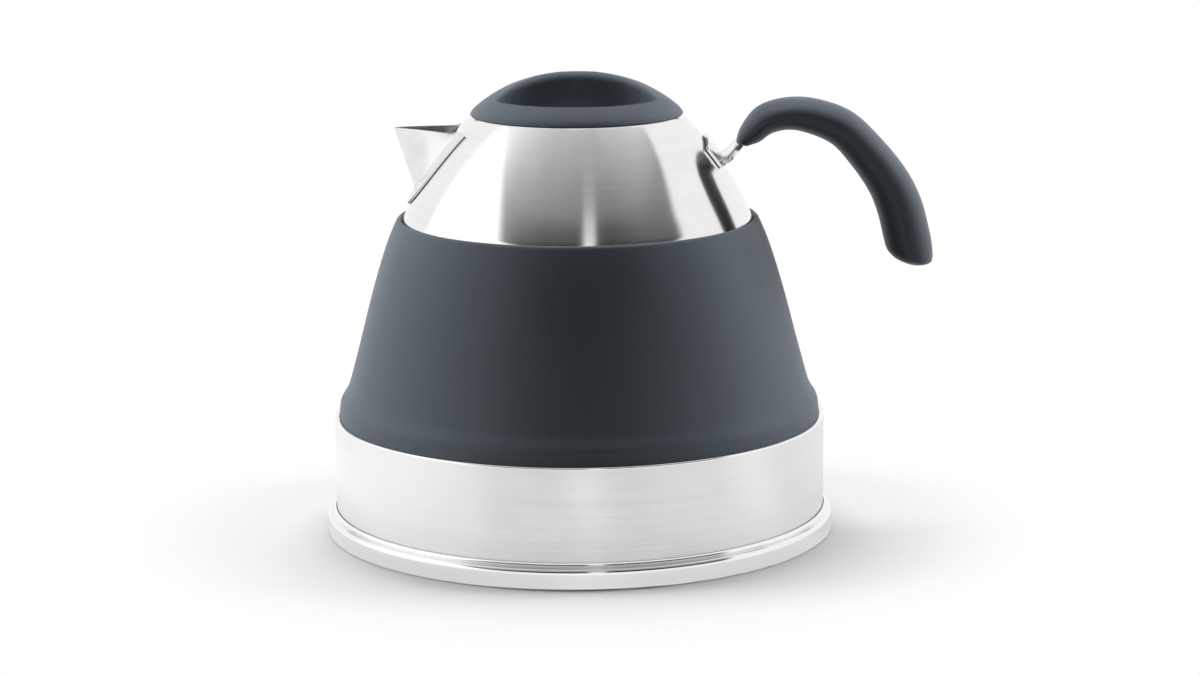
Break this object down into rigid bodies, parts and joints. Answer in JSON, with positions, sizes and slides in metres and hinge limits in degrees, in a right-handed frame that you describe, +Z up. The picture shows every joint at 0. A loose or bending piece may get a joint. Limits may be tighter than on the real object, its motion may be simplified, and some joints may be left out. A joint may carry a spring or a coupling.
{
  "type": "collapsible kettle",
  "caption": "Collapsible kettle with a wide steel base, a folding silicone wall, a steel dome with spout and handle, and a lift-off lid.",
  "frame": {"origin": "centre of the flat face that the kettle stands on", "axes": "+Z up, +X towards the handle, -X towards the spout"},
  "size_m": [0.222, 0.186, 0.1672],
  "materials": {
    "polished_steel": "polished",
    "brushed_steel": "satin brushed",
    "aluminium": "matt",
    "silicone": "matt",
    "clear_silicone": "matt",
    "grip_nylon": "matt"
  },
  "bodies": {
    "base": {"base_cap": "polished_steel", "base_core_disc": "aluminium", "base_pan": "brushed_steel", "lower_clamp_ring": "brushed_steel", "silicone_body": "silicone"},
    "dome": {"upper_shell": "brushed_steel", "upper_clamp_ring": "brushed_steel", "spout": "brushed_steel", "handle_bracket": "polished_steel", "grip_upper": "grip_nylon", "grip_lower": "grip_nylon", "grip_screw_front": "polished_steel", "grip_screw_rear": "polished_steel"},
    "lid": {"lid_cover": "silicone", "lid_plate": "brushed_steel", "lid_collar": "brushed_steel", "lid_gasket": "clear_silicone"}
  },
  "joints": [
    {"name": "collapse", "type": "slide", "parent": "base", "child": "dome", "axis": [0, 0, 1], "range_m": [-0.083, 0], "deforming": ["silicone_body"]},
    {"name": "lid_lift", "type": "slide", "parent": "dome", "child": "lid", "axis": [0, 0, 1], "range_m": [0, 0.06]}
  ]
}
